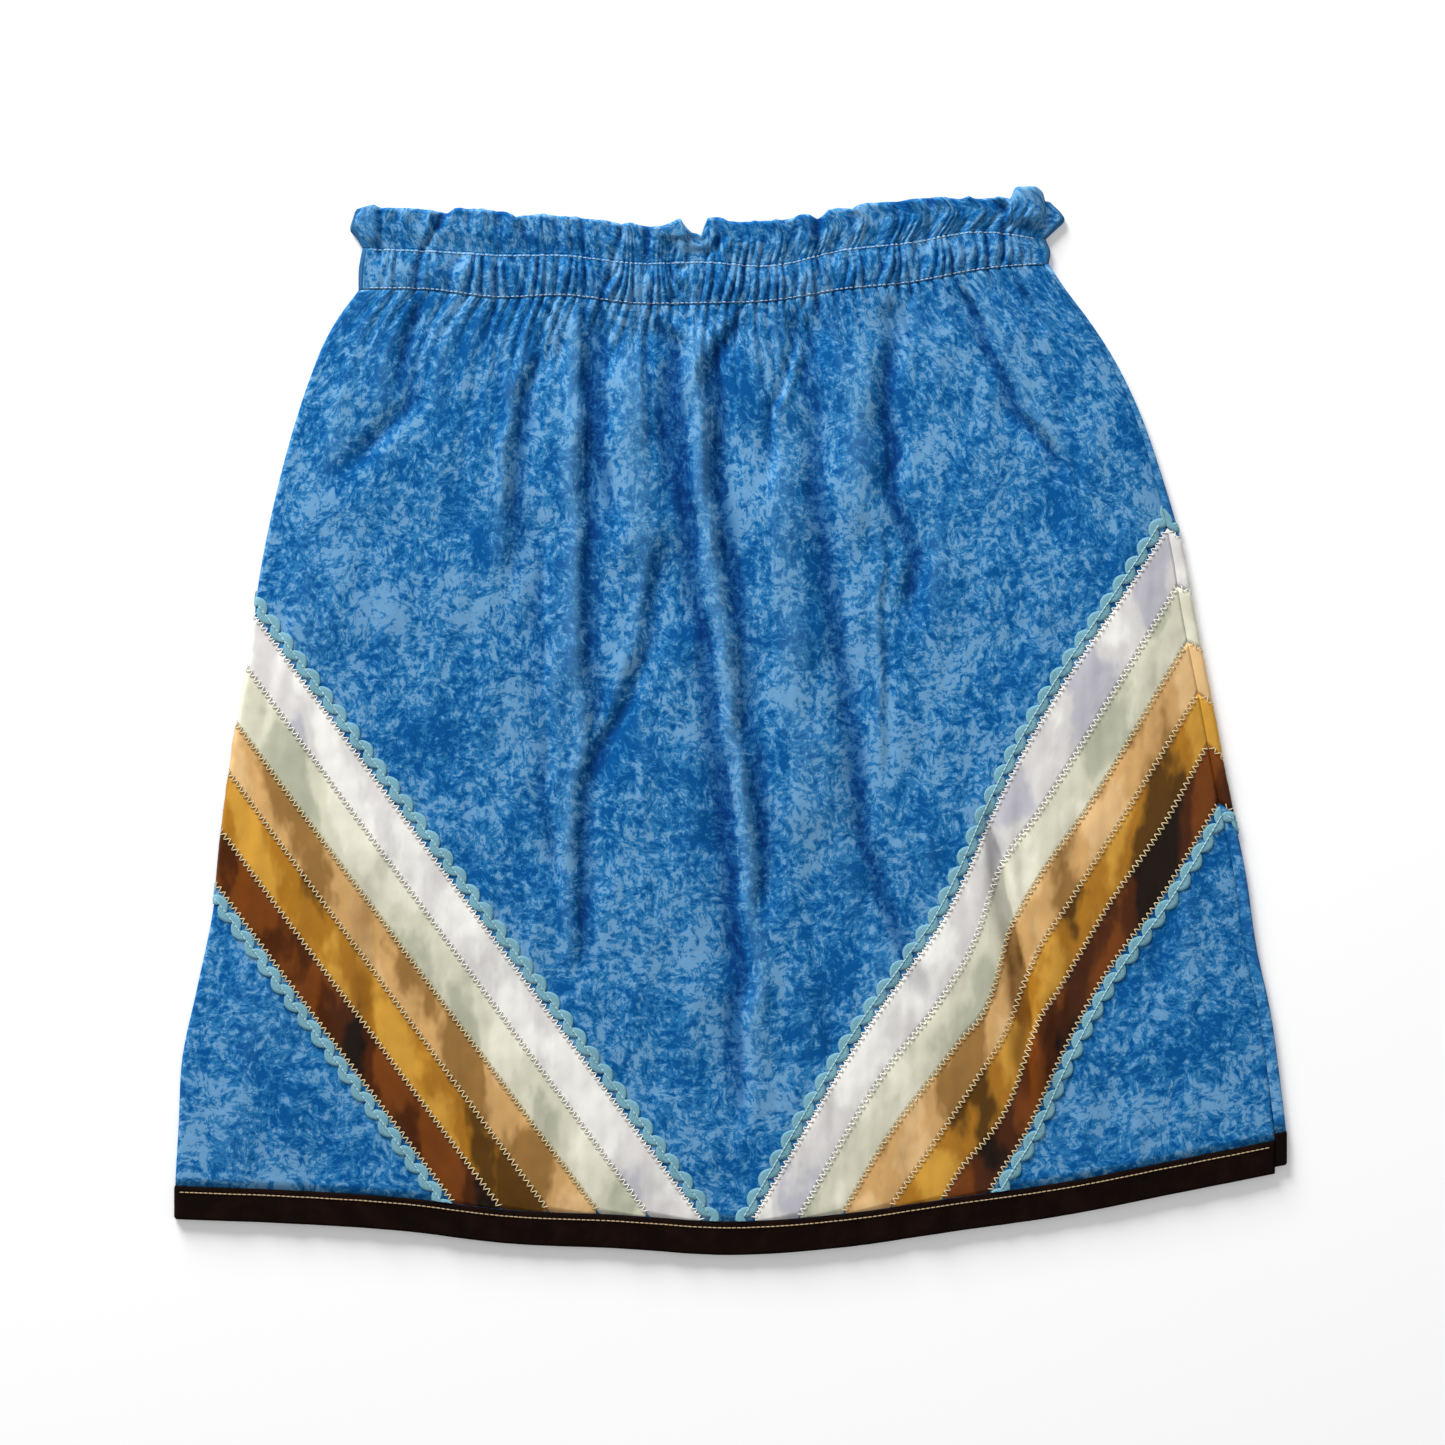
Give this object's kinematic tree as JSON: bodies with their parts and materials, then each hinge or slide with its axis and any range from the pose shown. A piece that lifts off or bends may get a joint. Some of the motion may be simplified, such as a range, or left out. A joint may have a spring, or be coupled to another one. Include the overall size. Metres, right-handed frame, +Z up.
{
  "type": "ribbon skirt",
  "caption": "Gathered skirt laid flat, with an elastic ruffled waist, satin ribbons in a V over both hips, rickrack along them and a dark bound hem.",
  "frame": {"origin": "middle of the laid skirt's outline, on the surface that it lies on", "axes": "+Z up out of the surface, towards the front of the skirt; +Y towards the waist; +X across the skirt, towards the right side seam"},
  "size_m": [0.667, 0.6417, 0.011],
  "materials": {
    "cotton_print": "woven cotton, mottled blue print",
    "hem_binding": "dark woven cotton binding",
    "white_satin": "polyester satin ribbon",
    "ivory_satin": "polyester satin ribbon",
    "champagne_satin": "polyester satin ribbon",
    "bronze_satin": "polyester satin ribbon",
    "brown_satin": "polyester satin ribbon",
    "rickrack_braid": "woven zigzag braid"
  },
  "bodies": {
    "root": {"front_panel": "cotton_print", "back_panel": "cotton_print", "front_casing": "cotton_print", "back_casing": "cotton_print", "front_ruffle": "cotton_print", "back_ruffle": "cotton_print", "front_hem_band": "hem_binding", "back_hem_band": "hem_binding", "ribbon_left_white": "white_satin", "ribbon_left_ivory": "ivory_satin", "ribbon_left_champagne": "champagne_satin", "ribbon_left_bronze": "bronze_satin", "ribbon_left_brown": "brown_satin", "rickrack_left_upper": "rickrack_braid", "rickrack_left_lower": "rickrack_braid", "ribbon_right_white": "white_satin", "ribbon_right_ivory": "ivory_satin", "ribbon_right_champagne": "champagne_satin", "ribbon_right_bronze": "bronze_satin", "ribbon_right_brown": "brown_satin", "rickrack_right_upper": "rickrack_braid", "rickrack_right_lower": "rickrack_braid", "ribbon_turn_white": "white_satin", "ribbon_turn_ivory": "ivory_satin", "ribbon_turn_champagne": "champagne_satin", "ribbon_turn_bronze": "bronze_satin", "ribbon_turn_brown": "brown_satin", "rickrack_turn_upper": "rickrack_braid", "rickrack_turn_lower": "rickrack_braid"}
  },
  "joints": []
}
